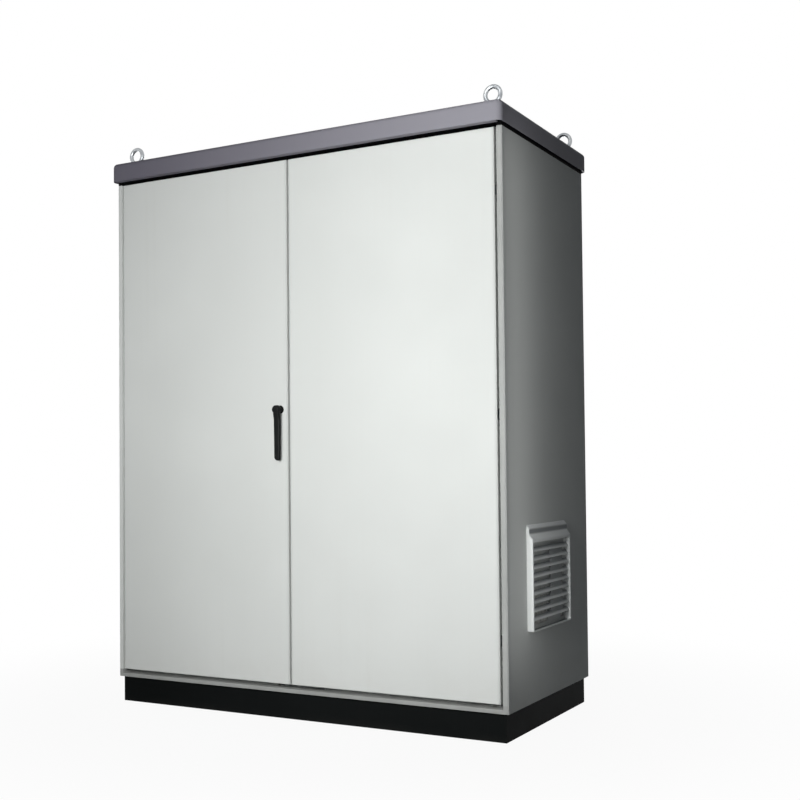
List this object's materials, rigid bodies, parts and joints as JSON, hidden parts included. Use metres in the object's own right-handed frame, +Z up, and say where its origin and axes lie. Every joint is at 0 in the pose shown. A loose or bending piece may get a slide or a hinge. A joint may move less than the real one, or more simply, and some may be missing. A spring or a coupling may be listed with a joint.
{
  "type": "roadside utility cabinet",
  "caption": "Free-standing sheet-steel outdoor cabinet with twin doors, lever rod lock, rain roof, lifting eyes, louvred side vent and set-back plinth.",
  "frame": {"origin": "middle of the four anchor holes, on the ground under the plinth", "axes": "+Z up, the doors face -Y, +X to the right seen from the front"},
  "size_m": [1.2335, 0.613, 1.5864],
  "materials": {
    "body_paint": "fine textured powder coat, light grey",
    "roof_paint": "fine textured powder coat, dark grey",
    "plinth_paint": "fine textured powder coat, black",
    "zinc_steel": "bright zinc plated",
    "gasket_rubber": "matt foam",
    "lever_black": "satin black die casting",
    "guide_nylon": "moulded nylon",
    "vent_grey": "moulded, light grey",
    "filter_fleece": "white needled fleece",
    "earth_copper": "bare copper"
  },
  "bodies": {
    "cabinet": {"plinth_front": "plinth_paint", "plinth_rear": "plinth_paint", "plinth_left": "plinth_paint", "plinth_right": "plinth_paint", "plinth_corner_front_left": "plinth_paint", "plinth_corner_front_right": "plinth_paint", "plinth_corner_rear_left": "plinth_paint", "plinth_corner_rear_right": "plinth_paint", "plinth_bolts": "zinc_steel", "floor_panel": "body_paint", "gland_plates": "zinc_steel", "gland_screws": "zinc_steel", "left_side_panel": "body_paint", "right_side_panel": "body_paint", "rear_panel": "body_paint", "top_panel": "body_paint", "left_post": "body_paint", "right_post": "body_paint", "header_rail": "body_paint", "sill_rail": "body_paint", "centre_post": "body_paint", "keepers": "zinc_steel", "roof_canopy": "roof_paint", "roof_spacers": "zinc_steel", "lifting_eyes": "zinc_steel", "eye_nuts": "zinc_steel", "vent_hood": "vent_grey", "filter_mat": "filter_fleece", "filter_frame": "vent_grey", "vent_screws": "zinc_steel", "mounting_plate": "zinc_steel", "plate_standoffs": "zinc_steel", "plate_bolts": "zinc_steel", "earth_bar": "earth_copper", "earth_feet": "guide_nylon", "left_hinge_arms": "zinc_steel", "right_hinge_arms": "zinc_steel"},
    "left_door": {"left_door_skin": "body_paint", "left_door_gasket": "gasket_rubber", "left_door_rails": "zinc_steel", "left_hinge_brackets": "zinc_steel", "left_hinge_pins": "zinc_steel", "lock_case": "zinc_steel", "rod_guides": "guide_nylon", "lock_rosette": "lever_black"},
    "lever": {"lever_handle": "lever_black", "handle_spindle": "zinc_steel", "lock_pinion": "zinc_steel"},
    "upper_lock_rod": {"upper_rod": "zinc_steel"},
    "lower_lock_rod": {"lower_rod": "zinc_steel"},
    "right_door": {"right_door_skin": "body_paint", "right_door_gasket": "gasket_rubber", "right_door_rails": "zinc_steel", "right_hinge_brackets": "zinc_steel", "right_hinge_pins": "zinc_steel", "bolt_guides": "guide_nylon"},
    "upper_shoot_bolt": {"upper_bolt": "zinc_steel"},
    "lower_shoot_bolt": {"lower_bolt": "zinc_steel"}
  },
  "joints": [
    {"name": "left_door_hinge", "type": "hinge", "parent": "cabinet", "child": "left_door", "pos_m": [-0.57, -0.272, 0.781], "axis": [0, 0, -1], "range_deg": [0, 120]},
    {"name": "right_door_hinge", "type": "hinge", "parent": "cabinet", "child": "right_door", "pos_m": [0.57, -0.272, 0.781], "axis": [0, 0, 1], "range_deg": [0, 120]},
    {"name": "lever_turn", "type": "hinge", "parent": "left_door", "child": "lever", "pos_m": [-0.0425, -0.28, 0.81], "axis": [0, 1, 0], "range_deg": [0, 90]},
    {"name": "upper_rod_slide", "type": "slide", "parent": "left_door", "child": "upper_lock_rod", "axis": [0, 0, 1], "range_m": [0, 0.0165]},
    {"name": "lower_rod_slide", "type": "slide", "parent": "left_door", "child": "lower_lock_rod", "axis": [0, 0, -1], "range_m": [0, 0.0165]},
    {"name": "upper_bolt_slide", "type": "slide", "parent": "right_door", "child": "upper_shoot_bolt", "axis": [0, 0, 1], "range_m": [0, 0.015]},
    {"name": "lower_bolt_slide", "type": "slide", "parent": "right_door", "child": "lower_shoot_bolt", "axis": [0, 0, -1], "range_m": [0, 0.015]}
  ],
  "couplings": [
    {"joint": "upper_rod_slide", "follows": "lever_turn", "m_per_rad": 0.0105},
    {"joint": "lower_rod_slide", "follows": "lever_turn", "m_per_rad": 0.0105}
  ]
}
